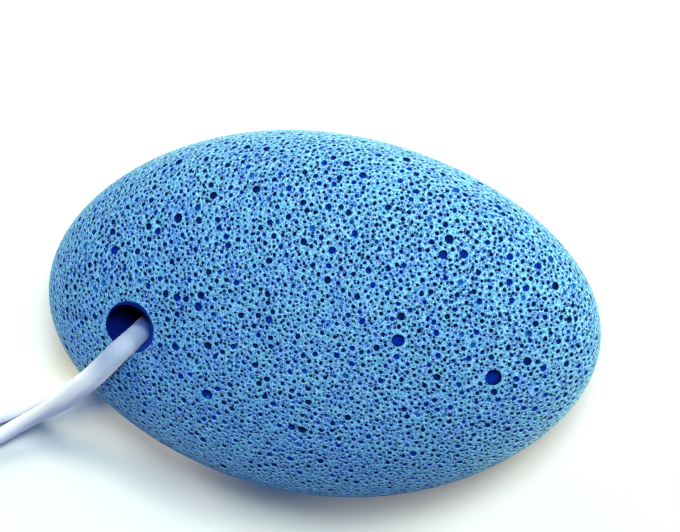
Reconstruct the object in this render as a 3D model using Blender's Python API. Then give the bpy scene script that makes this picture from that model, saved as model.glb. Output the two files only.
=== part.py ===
"""A pumice foot stone: an oval pebble of foamed stone with a loop of soft cord through a bore at one end.

The stone lies on its broad back. +X runs along its long axis, away from the bore, +Y across it and +Z up through its
thickness. The origin is on the surface that it lies on, under the middle of the stone. All sizes are in metres.
"""

import math
import random

import bmesh
import bpy
import numpy as np
from mathutils import Matrix, Vector

# Stone
STONE_LENGTH = 0.0950
STONE_WIDTH = 0.0622
STONE_THICKNESS = 0.0340
REST_LAND_DEPTH = 0.0005  # how far the worn flat underneath is cut into the rounded back
PLAN_EXPONENT = 2.15  # how soon the faces fall away from the middle of the plan
CROWN_EXPONENT = 2.10  # how full the rounded sides are
PLAN_WAVES = ((3, 0.0040, 56.0), (4, 0.0104, 25.0))  # lobes, share of the radius, phase in degrees
SKIN_CELLS = 14  # quads along each side of the six patches that cover the stone

# Bore for the cord, and the worn chamfer at its mouths
BORE_X = -0.0289
BORE_Y = -0.0024
BORE_RADIUS = 0.0041
BORE_SIDES = 28
MOUTH_CHAMFER = 0.0011
MOUTH_STANDOFF = 0.0008  # how far the chamfer's cutter stands out of the skin
BORE_MARGIN = 0.0016  # skin left whole between the bore's chamfer and the nearest pore

# Pores: x, y and diameter of the largest, which all open in the upper face
LARGE_PORES = (
    (0.0327, -0.0035, 0.0029),
    (0.0173, 0.0017, 0.0023),
    (-0.0148, -0.0120, 0.0021),
    (-0.0219, 0.0169, 0.0018),
    (-0.0330, 0.0099, 0.0017),
    (-0.0167, 0.0033, 0.0016),
    (-0.0145, -0.0031, 0.0015),
    (-0.0206, -0.0043, 0.0015),
    (0.0236, 0.0184, 0.0016),
    (0.0230, 0.0158, 0.0015),
    (0.0262, 0.0163, 0.0016),
    (-0.0091, 0.0231, 0.0015),
    (0.0377, -0.0004, 0.0016),
    (0.0018, -0.0159, 0.0015),
    (-0.0271, 0.0147, 0.0013),
    (-0.0253, 0.0144, 0.0013),
)
LARGE_PORE_SINK = 0.25  # how far a large pore's middle lies under the skin, in its radii
ROUND_PORE_DIAMETER = 0.0020  # from this size a pore is cut by a rounder bubble
SMALL_PORE_COUNT = 278
SMALL_PORE_DIAMETERS = (0.0010, 0.0019)
SMALL_PORE_SIDES = 6
SMALL_PORE_DEPTH = 0.85  # in diameters
SMALL_PORE_STANDOFF = 0.0004  # how far a small pore's cutter stands out of the skin
PORE_WALL = 0.0005  # least wall between two pores
LAND_MARGIN = 0.0003  # least height of a pore above the worn flat
SEED = 17

# Cord
CORD_DIAMETER = 0.0034
CORD_STEP = 0.0037  # distance between the points of the tube
# The cord's route: from the knot along the outer strand, over the rim into the upper mouth, down through the bore, out
# of the lower mouth under the stone, and along the inner strand back to the knot.
CORD_ROUTE = (
    (-0.0968, -0.0071, 0.0043),
    (-0.0965, -0.0110, 0.0028),
    (-0.0952, -0.0165, 0.0018),
    (-0.0922, -0.0230, 0.0018),
    (-0.0868, -0.0298, 0.0018),
    (-0.0786, -0.0354, 0.0018),
    (-0.0704, -0.0370, 0.0018),
    (-0.0634, -0.0353, 0.0020),
    (-0.0589, -0.0322, 0.0036),
    (-0.0546, -0.0284, 0.0070),
    (-0.0495, -0.0240, 0.0127),
    (-0.0434, -0.0187, 0.0208),
    (-0.0383, -0.0142, 0.0271),
    (-0.0347, -0.0107, 0.0308),
    (-0.0319, -0.0076, 0.0323),
    (-0.0294, -0.0049, 0.0317),
    (-0.0276, -0.0031, 0.0290),
    (-0.0270, -0.0024, 0.0255),
    (-0.0272, -0.0018, 0.0170),
    (-0.0274, -0.0011, 0.0086),
    (-0.0281, -0.0017, 0.0051),
    (-0.0299, -0.0034, 0.0026),
    (-0.0324, -0.0058, 0.0018),
    (-0.0381, -0.0113, 0.0018),
    (-0.0449, -0.0178, 0.0018),
    (-0.0515, -0.0230, 0.0018),
    (-0.0575, -0.0266, 0.0018),
    (-0.0634, -0.0304, 0.0018),
    (-0.0700, -0.0330, 0.0018),
    (-0.0775, -0.0314, 0.0018),
    (-0.0841, -0.0268, 0.0018),
    (-0.0887, -0.0208, 0.0018),
    (-0.0914, -0.0150, 0.0019),
    (-0.0927, -0.0108, 0.0028),
    (-0.0931, -0.0071, 0.0043),
)

# Knot that joins the cord's two ends
KNOT_PLACE = (-0.0952, -0.0005, 0.0050)
KNOT_SIZE = (0.0100, 0.0106, 0.0096)
KNOT_WRAPS = 3
KNOT_WRAP_LEAN = 24.0  # degrees that each wrap leans from the one beside it
TAIL_ROUTES = (
    ((-0.0966, 0.0010, 0.0046), (-0.0985, 0.0062, 0.0034), (-0.1012, 0.0110, 0.0020), (-0.1050, 0.0152, 0.0018)),
    ((-0.0938, 0.0010, 0.0044), (-0.0930, 0.0064, 0.0031), (-0.0921, 0.0118, 0.0019), (-0.0900, 0.0168, 0.0018)),
)

MATERIALS = {
    "stone": ((0.092, 0.290, 0.560), 0.92),
    "cord": ((0.800, 0.820, 0.860), 0.85),
    "knot": ((0.800, 0.820, 0.860), 0.85),
}


def clear_scene():
    """Removes every object that the scene starts with."""
    for obj in list(bpy.data.objects):
        bpy.data.objects.remove(obj, do_unlink=True)


def new_collection(name):
    """Returns a new collection linked to the scene."""
    collection = bpy.data.collections.new(name)
    bpy.context.scene.collection.children.link(collection)
    return collection


def new_object(name, mesh, collection):
    """Returns a new object with this mesh in the collection."""
    obj = bpy.data.objects.new(name, mesh)
    collection.objects.link(obj)
    return obj


def object_from_bmesh(name, bm, collection):
    """Turns a bmesh into an object, and frees the bmesh."""
    mesh = bpy.data.meshes.new(name)
    bm.to_mesh(mesh)
    bm.free()
    return new_object(name, mesh, collection)


def new_material(name):
    """Returns the plain material of a piece."""
    colour, roughness = MATERIALS[name]
    material = bpy.data.materials.new(name)
    material.use_nodes = True
    shader = material.node_tree.nodes["Principled BSDF"]
    shader.inputs["Base Color"].default_value = (*colour, 1.0)
    shader.inputs["Roughness"].default_value = roughness
    shader.inputs["Metallic"].default_value = 0.0
    return material


def cut(obj, cutter, name):
    """Takes the cutter's volume out of the object."""
    cutter.hide_render = True
    cutter.display_type = "WIRE"
    modifier = obj.modifiers.new(name, "BOOLEAN")
    modifier.operation = "DIFFERENCE"
    modifier.solver = "EXACT"
    modifier.object = cutter


def join(obj, other, name):
    """Unites the object with another one."""
    other.hide_render = True
    other.display_type = "WIRE"
    modifier = obj.modifiers.new(name, "BOOLEAN")
    modifier.operation = "UNION"
    modifier.solver = "EXACT"
    modifier.object = other


def plan_wave(angle):
    """How far the plan's radius departs from a true ellipse's, as a factor."""
    waves = (share * math.cos(lobes * angle - math.radians(phase)) for lobes, share, phase in PLAN_WAVES)
    return 1.0 + sum(waves)


def plan_span(axis):
    """The lowest and highest value that the waved unit circle reaches along X (0) or Y (1)."""
    angles = [math.radians(degree / 2) for degree in range(720)]
    reaches = [plan_wave(angle) * (math.sin(angle) if axis else math.cos(angle)) for angle in angles]
    return min(reaches), max(reaches)


PLAN_SPANS = plan_span(0), plan_span(1)


def plan_place(across, angle):
    """The place at a share of the way from the middle to the plan's edge, in a plan that just fills the stone's size."""
    wave = plan_wave(angle)
    unit = wave * math.cos(angle), wave * math.sin(angle)
    sizes = STONE_LENGTH, STONE_WIDTH
    return [
        across * size * (value - (low + high) / 2) / (high - low)
        for value, (low, high), size in zip(unit, PLAN_SPANS, sizes)
    ]


def half_height():
    """Half of the thickness that the stone would have without its worn flat."""
    return (STONE_THICKNESS + REST_LAND_DEPTH) / 2


def skin_point(direction):
    """The point of the stone's skin that a direction from its middle stands for.

    The direction's share across the plan gives the place along the plan's radius, and its side gives the face.
    """
    across = min(math.hypot(direction.x, direction.y), 1.0)
    x, y = plan_place(across, math.atan2(direction.y, direction.x))
    rise = half_height() * (1 - across**PLAN_EXPONENT) ** (1 / CROWN_EXPONENT)
    middle = half_height() - REST_LAND_DEPTH
    return Vector((x, y, max(0.0, middle + math.copysign(rise, direction.z))))


def skin_normal(direction):
    """The skin's outward normal where skin_point(direction) is."""
    step = 1e-3
    side = direction.orthogonal().normalized() * step
    other = direction.cross(side).normalized() * step
    here = [skin_point((direction + shift).normalized()) for shift in (side, -side, other, -other)]
    normal = (here[0] - here[1]).cross(here[2] - here[3]).normalized()
    return normal if normal.dot(direction) > 0 else -normal


def direction_above(x, y, side=1.0):
    """The direction that stands for the skin above (side 1) or below (side -1) a place in the plan."""
    angle = math.atan2(y / STONE_WIDTH, x / STONE_LENGTH)
    across = math.hypot(x, y) / math.hypot(*plan_place(1.0, angle))
    rise = math.sqrt(max(0.0, 1 - across**2))
    return Vector((across * math.cos(angle), across * math.sin(angle), side * rise))


def make_stone_skin(parts):
    """The whole pebble: a cube of quads blown up to a ball, then pressed to the stone's form."""
    bm = bmesh.new()
    bmesh.ops.create_cube(bm, size=2.0)
    bmesh.ops.subdivide_edges(bm, edges=bm.edges[:], cuts=SKIN_CELLS - 1, use_grid_fill=True)
    for vertex in bm.verts:
        # The tangent evens out the quads, which a plain projection would crowd towards the corners.
        even = Vector([math.tan(value * math.pi / 4) for value in vertex.co])
        vertex.co = skin_point(even.normalized())
    return object_from_bmesh("stone", bm, parts)


def make_bore_cutter(cutters):
    """A round bar through the stone's thickness."""
    bm = bmesh.new()
    bmesh.ops.create_cone(
        bm,
        cap_ends=True,
        segments=BORE_SIDES,
        radius1=BORE_RADIUS,
        radius2=BORE_RADIUS,
        depth=2 * STONE_THICKNESS,
    )
    cutter = object_from_bmesh("bore_cutter", bm, cutters)
    cutter.location = (BORE_X, BORE_Y, STONE_THICKNESS / 2)
    return cutter


def make_mouth_cutter(cutters, side):
    """A shallow cone square to the skin, which breaks the edge of the bore's upper or lower mouth."""
    direction = direction_above(BORE_X, BORE_Y, side)
    bm = bmesh.new()
    bmesh.ops.create_cone(
        bm,
        cap_ends=True,
        segments=BORE_SIDES,
        radius1=BORE_RADIUS - MOUTH_CHAMFER,
        radius2=BORE_RADIUS + MOUTH_CHAMFER + MOUTH_STANDOFF,
        depth=2 * MOUTH_CHAMFER + MOUTH_STANDOFF,
    )
    cutter = object_from_bmesh("upper_mouth_cutter" if side > 0 else "lower_mouth_cutter", bm, cutters)
    normal = skin_normal(direction)
    cutter.rotation_mode = "QUATERNION"
    cutter.rotation_quaternion = normal.to_track_quat("Z", "Y")
    cutter.location = skin_point(direction) + normal * (MOUTH_STANDOFF / 2)
    return cutter


def clear_of_bore(place, radius):
    """Whether a pore leaves the bore's mouths whole."""
    away = math.hypot(place.x - BORE_X, place.y - BORE_Y)
    return away > BORE_RADIUS + MOUTH_CHAMFER + BORE_MARGIN + radius


def large_pores():
    """The place on the skin, the outward normal and the radius of each large pore."""
    pores = []
    for x, y, diameter in LARGE_PORES:
        direction = direction_above(x, y)
        pores.append((skin_point(direction), skin_normal(direction), diameter / 2))
    return pores


def small_pores(rng, taken):
    """Small pores scattered over the skin, in the same form, with a wall between any two and round the taken ones."""
    pores = []
    while len(pores) < SMALL_PORE_COUNT:
        direction = Vector([rng.gauss(0, 1) for _ in range(3)]).normalized()
        radius = rng.uniform(*SMALL_PORE_DIAMETERS) / 2
        place = skin_point(direction)
        if place.z < LAND_MARGIN or not clear_of_bore(place, radius):
            continue
        if all((place - other).length > radius + size + PORE_WALL for other, _, size in taken + pores):
            pores.append((place, skin_normal(direction), radius))
    return pores


def add_bubble(bm, place, normal, radius):
    """A ball of few faces, most of it under the skin."""
    rounds = 2 if 2 * radius >= ROUND_PORE_DIAMETER else 1
    made = bmesh.ops.create_icosphere(bm, subdivisions=rounds, radius=radius)
    bmesh.ops.translate(bm, verts=made["verts"], vec=place - normal * radius * LARGE_PORE_SINK)


def add_funnel(bm, place, normal, radius, turn):
    """A cone with few sides that tapers into the stone, and has the pore's radius where it meets the skin."""
    depth = 2 * radius * SMALL_PORE_DEPTH
    tall = depth + SMALL_PORE_STANDOFF
    made = bmesh.ops.create_cone(
        bm, cap_ends=True, segments=SMALL_PORE_SIDES, radius1=0.0, radius2=radius * tall / depth, depth=tall
    )
    bmesh.ops.rotate(bm, verts=made["verts"], cent=(0, 0, 0), matrix=Matrix.Rotation(turn, 3, "Z"))
    upright = normal.to_track_quat("Z", "Y").to_matrix()
    bmesh.ops.rotate(bm, verts=made["verts"], cent=(0, 0, 0), matrix=upright)
    bmesh.ops.translate(bm, verts=made["verts"], vec=place + normal * (SMALL_PORE_STANDOFF - tall / 2))


def make_pore_cutter(cutters):
    """A bubble for each large pore and a funnel for each small one, all in one mesh."""
    rng = random.Random(SEED)
    bm = bmesh.new()
    large = large_pores()
    for place, normal, radius in large:
        add_bubble(bm, place, normal, radius)
    for place, normal, radius in small_pores(rng, large):
        add_funnel(bm, place, normal, radius, rng.uniform(0, math.tau))
    bmesh.ops.remove_doubles(bm, verts=bm.verts[:], dist=1e-6)
    return object_from_bmesh("pore_cutter", bm, cutters)


def make_stone(parts, cutters):
    """The pebble with its bore, the worn mouths and the larger pores."""
    stone = make_stone_skin(parts)
    cut(stone, make_bore_cutter(cutters), "bore")
    cut(stone, make_mouth_cutter(cutters, 1.0), "upper mouth")
    cut(stone, make_mouth_cutter(cutters, -1.0), "lower mouth")
    cut(stone, make_pore_cutter(cutters), "pores")
    stone.data.materials.append(new_material("stone"))
    return stone


def smooth_curve(points, step):
    """Points at equal steps along a smooth curve through the given points.

    The curve is a Catmull-Rom spline whose knots are spaced by the square root of the distances, so it makes no loops.
    """
    given = np.array(points)
    given = np.vstack([2 * given[0] - given[1], given, 2 * given[-1] - given[-2]])
    fine = []
    for p0, p1, p2, p3 in zip(given, given[1:], given[2:], given[3:]):
        t1 = math.sqrt(np.linalg.norm(p1 - p0))
        t2 = t1 + math.sqrt(np.linalg.norm(p2 - p1))
        t3 = t2 + math.sqrt(np.linalg.norm(p3 - p2))
        for t in np.linspace(t1, t2, 24, endpoint=False):
            a1 = (t1 - t) / t1 * p0 + t / t1 * p1
            a2 = (t2 - t) / (t2 - t1) * p1 + (t - t1) / (t2 - t1) * p2
            a3 = (t3 - t) / (t3 - t2) * p2 + (t - t2) / (t3 - t2) * p3
            b1 = (t2 - t) / t2 * a1 + t / t2 * a2
            b2 = (t3 - t) / (t3 - t1) * a2 + (t - t1) / (t3 - t1) * a3
            fine.append((t2 - t) / (t2 - t1) * b1 + (t - t1) / (t2 - t1) * b2)
    fine = np.array(fine + [given[-2]])
    along = np.concatenate([[0.0], np.cumsum(np.linalg.norm(np.diff(fine, axis=0), axis=1))])
    places = np.linspace(0.0, along[-1], round(along[-1] / step) + 1)
    return [tuple(np.interp(places, along, fine[:, axis])[i] for axis in range(3)) for i in range(len(places))]


def make_tube(name, points, step, collection):
    """A round cord along a smooth curve, as a curve object with closed ends."""
    curve = bpy.data.curves.new(name, "CURVE")
    curve.dimensions = "3D"
    curve.bevel_depth = CORD_DIAMETER / 2
    curve.bevel_resolution = 2
    curve.use_fill_caps = True
    line = smooth_curve(points, step)
    spline = curve.splines.new("POLY")
    spline.points.add(len(line) - 1)
    for point, place in zip(spline.points, line):
        point.co = (*place, 1.0)
    return new_object(name, curve, collection)


def make_cord(parts):
    """The one length of cord, threaded through the bore, with both ends at the knot."""
    cord = make_tube("cord", CORD_ROUTE, CORD_STEP, parts)
    cord.data.materials.append(new_material("cord"))
    return cord


def mesh_of(obj, collection):
    """Replaces a curve object by a closed mesh of the same shape."""
    graph = bpy.context.evaluated_depsgraph_get()
    mesh = bpy.data.meshes.new_from_object(obj.evaluated_get(graph))
    bm = bmesh.new()
    bm.from_mesh(mesh)
    bmesh.ops.remove_doubles(bm, verts=bm.verts[:], dist=1e-6)
    bm.to_mesh(mesh)
    bm.free()
    name, matrix = obj.name, obj.matrix_world.copy()
    bpy.data.objects.remove(obj, do_unlink=True)
    solid = new_object(name, mesh, collection)
    solid.matrix_world = matrix
    return solid


def make_wrap(cutters, number):
    """One turn of cord round the knot, as a ring that leans from its neighbours."""
    bpy.ops.mesh.primitive_torus_add(
        major_segments=14,
        minor_segments=7,
        major_radius=(KNOT_SIZE[0] - CORD_DIAMETER) / 2,
        minor_radius=CORD_DIAMETER / 2,
    )
    wrap = bpy.context.active_object
    wrap.name = f"wrap_{number + 1}"
    for collection in list(wrap.users_collection):
        collection.objects.unlink(wrap)
    cutters.objects.link(wrap)
    lean = math.radians(KNOT_WRAP_LEAN) * (number - (KNOT_WRAPS - 1) / 2)
    spread = (KNOT_SIZE[1] - CORD_DIAMETER) / (KNOT_WRAPS - 1) * (number - (KNOT_WRAPS - 1) / 2)
    wrap.rotation_euler = (math.radians(90.0), 0.0, lean)
    wrap.location = Vector(KNOT_PLACE) + Vector((0.0, spread * 0.86, 0.0))
    wrap.scale = (1.0, KNOT_SIZE[2] / KNOT_SIZE[0], 1.0)
    return wrap


def make_knot(parts, cutters):
    """The pulled-tight knot: a core, the turns of cord round it and the two short tails."""
    bm = bmesh.new()
    bmesh.ops.create_uvsphere(bm, u_segments=16, v_segments=10, radius=0.5)
    bmesh.ops.scale(bm, verts=bm.verts[:], vec=[size * 0.86 for size in KNOT_SIZE])
    knot = object_from_bmesh("knot", bm, parts)
    knot.location = KNOT_PLACE
    for number in range(KNOT_WRAPS):
        join(knot, make_wrap(cutters, number), f"wrap {number + 1}")
    for number, route in enumerate(TAIL_ROUTES):
        tail = mesh_of(make_tube(f"tail_{number + 1}", route, CORD_DIAMETER, cutters), cutters)
        join(knot, tail, f"tail {number + 1}")
    knot.data.materials.append(new_material("knot"))
    return knot


def main():
    """Builds the foot stone."""
    clear_scene()
    parts = new_collection("foot_stone")
    cutters = new_collection("cutters")
    make_stone(parts, cutters)
    make_cord(parts)
    make_knot(parts, cutters)


main()
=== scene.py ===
"""A blue foot stone of foamed stone, with a loop of soft white cord through the bore at its narrow end.

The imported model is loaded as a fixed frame, and each piece is dressed around it in metres, +Z up. The stone lies on its
broad back with +X along its length, and the cord lies beside it with its knot at -X.
"""

import logging
import math
from collections.abc import Iterator, Sequence
from dataclasses import dataclass, field
from enum import Enum
from itertools import product
from typing import ClassVar

import bpy
import numpy as np
from mathutils import Matrix, Vector
from mathutils.kdtree import KDTree


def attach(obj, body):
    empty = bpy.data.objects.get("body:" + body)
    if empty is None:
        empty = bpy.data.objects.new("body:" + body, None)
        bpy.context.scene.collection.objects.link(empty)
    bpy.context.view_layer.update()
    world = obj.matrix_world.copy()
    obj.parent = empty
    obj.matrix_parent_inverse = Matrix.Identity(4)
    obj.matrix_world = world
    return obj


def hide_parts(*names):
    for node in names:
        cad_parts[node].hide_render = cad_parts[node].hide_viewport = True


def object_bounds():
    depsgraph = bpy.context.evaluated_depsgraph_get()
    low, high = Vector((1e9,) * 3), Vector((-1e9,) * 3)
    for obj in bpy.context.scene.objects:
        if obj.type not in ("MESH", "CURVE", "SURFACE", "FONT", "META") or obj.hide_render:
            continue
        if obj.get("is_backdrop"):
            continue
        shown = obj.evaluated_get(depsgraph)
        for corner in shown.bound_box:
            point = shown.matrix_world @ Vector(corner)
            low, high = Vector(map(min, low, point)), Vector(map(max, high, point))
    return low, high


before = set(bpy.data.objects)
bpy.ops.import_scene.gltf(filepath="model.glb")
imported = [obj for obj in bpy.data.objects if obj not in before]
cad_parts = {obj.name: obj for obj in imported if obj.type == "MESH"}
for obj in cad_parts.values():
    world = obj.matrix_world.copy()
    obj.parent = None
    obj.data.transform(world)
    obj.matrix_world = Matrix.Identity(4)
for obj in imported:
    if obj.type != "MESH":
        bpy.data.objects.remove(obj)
CAD_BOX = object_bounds()

MM = 0.001
BODY = "root"
NOISE_LAYERS = 2.0  # finer layers in each cloud of noise
CURVE_STEPS = 24  # points between two given ones, before a smooth line's points are evened out
TINY = 1e-9  # keeps a direction between two places that coincide from being divided by nothing

log = logging.getLogger("foot_stone")

Colour = tuple[float, float, float]
Point = tuple[float, float, float]
Range = tuple[float, float]  # where something starts and where it ends


class Slot(Enum):
    """The record's finish slots."""

    STONE = "foamed_stone"
    CORD = "soft_cord"


class Node(Enum):
    """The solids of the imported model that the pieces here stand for."""

    STONE = "stone"
    CORD = "cord"
    KNOT = "knot"


class Mark(Enum):
    """What a face of the cut stone belongs to, kept as a marking material while the stone is cut."""

    SKIN = "skin"
    PIT = "pit"
    BORE = "bore"


CHANNEL_TOP = 255  # the brightest step of a screen's channel
TOE_END = 0.04045  # share under which a screen's curve is straight
TOE_SLOPE = 12.92
CURVE_OFFSET = 0.055
CURVE_POWER = 2.4


def linear(red: int, green: int, blue: int) -> Colour:
    """Turns a screen colour of 0 to 255 a channel into the linear colour that shaders take.

    Args:
        red: Red on the screen.
        green: Green on the screen.
        blue: Blue on the screen.

    Returns:
        The linear colour.
    """
    shares = np.array([red, green, blue]) / CHANNEL_TOP
    curve = ((shares + CURVE_OFFSET) / (1 + CURVE_OFFSET)) ** CURVE_POWER
    return tuple(np.where(shares <= TOE_END, shares / TOE_SLOPE, curve).tolist())


def ease(share: np.ndarray) -> np.ndarray:
    """Turns a straight rise from 0 to 1 into one that starts and ends smoothly."""
    return share * share * (3 - 2 * share)


# Shader nodes


class Wire:
    """An output socket of a shader node, on which Python's operators add Math nodes."""

    def __init__(self, paint: "Paint", socket: bpy.types.NodeSocket) -> None:
        """Keeps the node tree's builder and the socket."""
        self.paint = paint
        self.socket = socket

    def maths(self, operation: str, *others: "Wire | float") -> "Wire":
        """Adds a Math node that takes this value first.

        Args:
            operation: The Math node's operation.
            others: The values or links of its other sockets.

        Returns:
            The node's result.
        """
        return self.paint.node("ShaderNodeMath", {"operation": operation}, dict(enumerate((self, *others))))

    def __add__(self, other: "Wire | float") -> "Wire":
        """This value plus another."""
        return self.maths("ADD", other)

    def __radd__(self, other: float) -> "Wire":
        """A number plus this value."""
        return self.maths("ADD", other)

    def __sub__(self, other: "Wire | float") -> "Wire":
        """This value minus another."""
        return self.maths("SUBTRACT", other)

    def __rsub__(self, other: float) -> "Wire":
        """A number minus this value."""
        return self * -1.0 + other

    def __mul__(self, other: "Wire | float") -> "Wire":
        """This value times another."""
        return self.maths("MULTIPLY", other)

    def __rmul__(self, other: float) -> "Wire":
        """A number times this value."""
        return self.maths("MULTIPLY", other)

    def step(self, start: float, end: float) -> "Wire":
        """Rises smoothly from 0 at start to 1 at end, or falls where end is the lower.

        Args:
            start: The value at which the result is 0.
            end: The value at which the result is 1.

        Returns:
            The smooth step.
        """
        low, high, first, last = (start, end, 0.0, 1.0) if start < end else (end, start, 1.0, 0.0)
        inputs = {"Value": self, "From Min": low, "From Max": high, "To Min": first, "To Max": last}
        return self.paint.node("ShaderNodeMapRange", {"interpolation_type": "SMOOTHSTEP"}, inputs)


class Paint:
    """A material's node tree, with one method that adds any node."""

    MIXED_COLOUR = 2  # the number of a Mix node's colour output

    def __init__(self, name: str) -> None:
        """Makes an empty material with its output.

        Args:
            name: The material's name.
        """
        self.material = bpy.data.materials.new(name)
        self.material.use_nodes = True
        self.tree = self.material.node_tree
        self.tree.nodes.clear()
        self.output = self.tree.nodes.new("ShaderNodeOutputMaterial")

    def node(
        self,
        kind: str,
        settings: dict[str, object] | None = None,
        inputs: dict[str | int, object] | None = None,
        output: str | int = 0,
    ) -> Wire:
        """Adds a node: its settings first, then the values or links of its sockets.

        Args:
            kind: The node's type.
            settings: Its properties. "stops" holds a colour ramp's stops, as places and colours.
            inputs: The value or link of each socket, by name or number.
            output: The output that is wanted, by name or number.

        Returns:
            That output.
        """
        made = self.tree.nodes.new(kind)
        for name, value in (settings or {}).items():
            if name == "stops":
                self._set_stops(made.color_ramp, value)
            else:
                setattr(made, name, value)
        for name, value in (inputs or {}).items():
            socket = self._input(made, name)
            if isinstance(value, Wire):
                self.tree.links.new(value.socket, socket)
            elif socket.type == "RGBA":
                socket.default_value = (*value, 1.0)
            else:
                socket.default_value = value
        return Wire(self, made.outputs[output])

    @staticmethod
    def _input(made: bpy.types.Node, name: str | int) -> bpy.types.NodeSocket:
        """The input socket with this number, or the enabled one with this name."""
        named = (socket for socket in made.inputs if socket.name == name and socket.enabled)
        return made.inputs[name] if isinstance(name, int) else next(named)

    @staticmethod
    def _set_stops(ramp: bpy.types.ColorRamp, stops: Sequence[tuple[float, Colour]]) -> None:
        """Gives a colour ramp its stops.

        Args:
            ramp: The ramp.
            stops: The place and colour of each stop.
        """
        while len(ramp.elements) < len(stops):
            ramp.elements.new(1.0)
        for element, (place, colour) in zip(ramp.elements, stops):
            element.position = place
            element.color = (*colour, 1.0)

    def mix(self, factor: Wire | float, first: Wire | Colour, second: Wire | Colour) -> Wire:
        """Mixes two colours.

        Args:
            factor: The second colour's share.
            first: The first colour.
            second: The second colour.

        Returns:
            The mixed colour.
        """
        inputs = {"Factor": factor, "A": first, "B": second}
        return self.node("ShaderNodeMix", {"data_type": "RGBA"}, inputs, self.MIXED_COLOUR)

    def place(self) -> Wire:
        """The place on the piece, in metres."""
        return self.node("ShaderNodeTexCoord", output="Object")

    def attribute(self, name: str) -> Wire:
        """A number that the mesh carries."""
        return self.node("ShaderNodeAttribute", {"attribute_name": name}, output="Fac")

    def noise(self, place: Wire, size: float, roughness: float = 0.5) -> Wire:
        """Cloudy noise from 0 to 1.

        Args:
            place: The coordinates that it is read at.
            size: The width of a cloud in metres.
            roughness: The share of each finer layer.

        Returns:
            The noise.
        """
        inputs = {"Vector": place, "Scale": 1 / size, "Detail": NOISE_LAYERS, "Roughness": roughness}
        return self.node("ShaderNodeTexNoise", {"noise_dimensions": "3D"}, inputs, "Fac")

    def cells(self, place: Wire, size: float, output: str, feature: str = "F1") -> Wire:
        """Small cells of uneven shape that fill space.

        Args:
            place: The coordinates that they are read at.
            size: The width of a cell in metres.
            output: The output that is wanted.
            feature: What of the cells is measured.

        Returns:
            That output.
        """
        settings = {"feature": feature, "voronoi_dimensions": "3D"}
        return self.node("ShaderNodeTexVoronoi", settings, {"Vector": place, "Scale": 1 / size}, output)

    def bump(self, height: Wire, strength: float, relief: float) -> Wire:
        """Turns a height from 0 to 1 into a normal.

        Args:
            height: The height.
            strength: How much of the bump shows.
            relief: The height that 1 stands for, in metres.

        Returns:
            The normal.
        """
        return self.node("ShaderNodeBump", {}, {"Strength": strength, "Distance": relief, "Height": height})

    def principled(self, inputs: dict[str, object]) -> Wire:
        """The shader that every finish here is made with."""
        return self.node("ShaderNodeBsdfPrincipled", {}, inputs)

    def finish(self, shader: Wire) -> bpy.types.Material:
        """Joins the shader to the output and returns the material."""
        self.tree.links.new(shader.socket, self.output.inputs["Surface"])
        return self.material


# Meshes


def deselect_all() -> None:
    """Deselects every object, because the loaded nodes come in selected."""
    bpy.ops.object.select_all(action="DESELECT")


def take(obj: bpy.types.Object) -> bpy.types.Object:
    """Makes this object the only selected one, and the active one.

    Args:
        obj: The object.

    Returns:
        The same object.
    """
    deselect_all()
    obj.select_set(True)
    bpy.context.view_layer.objects.active = obj
    return obj


def read_points(mesh: bpy.types.Mesh) -> np.ndarray:
    """The mesh's vertices as an array.

    Args:
        mesh: The mesh.

    Returns:
        The vertices' places, one a row.
    """
    flat = np.empty(len(mesh.vertices) * 3)
    mesh.vertices.foreach_get("co", flat)
    return flat.reshape(-1, 3)


def read_triangles(mesh: bpy.types.Mesh) -> np.ndarray:
    """The faces of a mesh that has only triangles.

    Args:
        mesh: The mesh.

    Returns:
        The vertex numbers of each face, one face a row.
    """
    corners = np.empty(len(mesh.loops), int)
    mesh.loops.foreach_get("vertex_index", corners)
    return corners.reshape(-1, 3)


def write_points(mesh: bpy.types.Mesh, points: np.ndarray) -> None:
    """Moves the mesh's vertices to the rows of an array."""
    mesh.vertices.foreach_set("co", points.ravel())
    mesh.update()


def write_values(mesh: bpy.types.Mesh, name: str, domain: str, values: np.ndarray) -> None:
    """Gives each point or face of the mesh a number that a finish reads."""
    mesh.attributes.new(name, "FLOAT", domain).data.foreach_set("value", values.astype(np.float32))


def add_object(name: str, data: bpy.types.ID) -> bpy.types.Object:
    """Adds an object to the scene.

    Args:
        name: The object's name.
        data: The mesh, light or camera that it holds.

    Returns:
        The new object.
    """
    obj = bpy.data.objects.new(name, data)
    bpy.context.scene.collection.objects.link(obj)
    return obj


def apply_place() -> bpy.types.Object:
    """Puts the place and turn of the active object, the only selected one, in its mesh and returns it."""
    bpy.ops.object.transform_apply(location=True, rotation=True, scale=True)
    return bpy.context.object


def add_mesh(name: str, points: np.ndarray, faces: Sequence[Sequence[int]]) -> bpy.types.Object:
    """Adds an object made from arrays.

    Args:
        name: The object's name.
        points: One row for each vertex, in metres.
        faces: The vertex numbers of each face.

    Returns:
        The new object.
    """
    mesh = bpy.data.meshes.new(name)
    mesh.from_pydata(points.tolist(), [], [list(map(int, face)) for face in faces])
    return add_object(name, mesh)


def cut(obj: bpy.types.Object, cutter: bpy.types.Object) -> None:
    """Takes the cutter's volume out of the object, and removes the cutter.

    Args:
        obj: The piece that is cut. Faces that the cutter leaves take the cutter's material.
        cutter: A closed mesh.
    """
    take(obj)
    modifier = obj.modifiers.new("cut", "BOOLEAN")
    modifier.operation = "DIFFERENCE"
    modifier.solver = "MANIFOLD"
    modifier.material_mode = "TRANSFER"
    modifier.object = cutter
    bpy.ops.object.modifier_apply(modifier=modifier.name)
    bpy.data.objects.remove(cutter, do_unlink=True)


def smooth_edges(obj: bpy.types.Object, degrees: float) -> None:
    """Shades the piece smooth, apart from edges that turn more than an angle."""
    take(obj)
    bpy.ops.object.shade_smooth_by_angle(angle=math.radians(degrees))


# Form of the stone


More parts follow.
